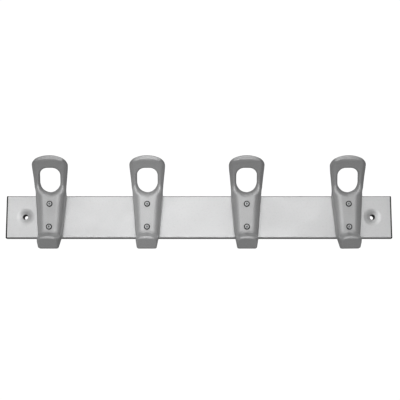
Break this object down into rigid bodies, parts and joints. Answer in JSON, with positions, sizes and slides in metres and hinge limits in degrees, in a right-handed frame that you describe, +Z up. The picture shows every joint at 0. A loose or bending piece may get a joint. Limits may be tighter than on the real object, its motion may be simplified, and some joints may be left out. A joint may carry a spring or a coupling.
{
  "type": "wall hook rack",
  "caption": "Wall-mounted hook rack: folded metal rail with black end caps and dished screw holes, carrying riveted cast hooks, each with an upper loop and a small lower lip",
  "frame": {"origin": "Middle of the two wall screw holes, on the wall plane", "axes": "+X along the rail, to the right as seen from the room; +Y into the wall; +Z up"},
  "size_m": [0.6, 0.0525, 0.1423],
  "materials": {
    "rail": "satin",
    "hook": "satin",
    "rivet": "semi-bright",
    "mandrel": "dull",
    "plastic": "matte"
  },
  "bodies": {
    "root": {"rail": "rail", "end_cap_left": "plastic", "end_cap_right": "plastic", "screw_bush_left": "plastic", "screw_bush_right": "plastic", "hook_1": "hook", "rivet_1_upper": "rivet", "mandrel_1_upper": "mandrel", "rivet_1_lower": "rivet", "mandrel_1_lower": "mandrel", "hook_2": "hook", "rivet_2_upper": "rivet", "mandrel_2_upper": "mandrel", "rivet_2_lower": "rivet", "mandrel_2_lower": "mandrel", "hook_3": "hook", "rivet_3_upper": "rivet", "mandrel_3_upper": "mandrel", "rivet_3_lower": "rivet", "mandrel_3_lower": "mandrel", "hook_4": "hook", "rivet_4_upper": "rivet", "mandrel_4_upper": "mandrel", "rivet_4_lower": "rivet", "mandrel_4_lower": "mandrel"}
  },
  "joints": []
}
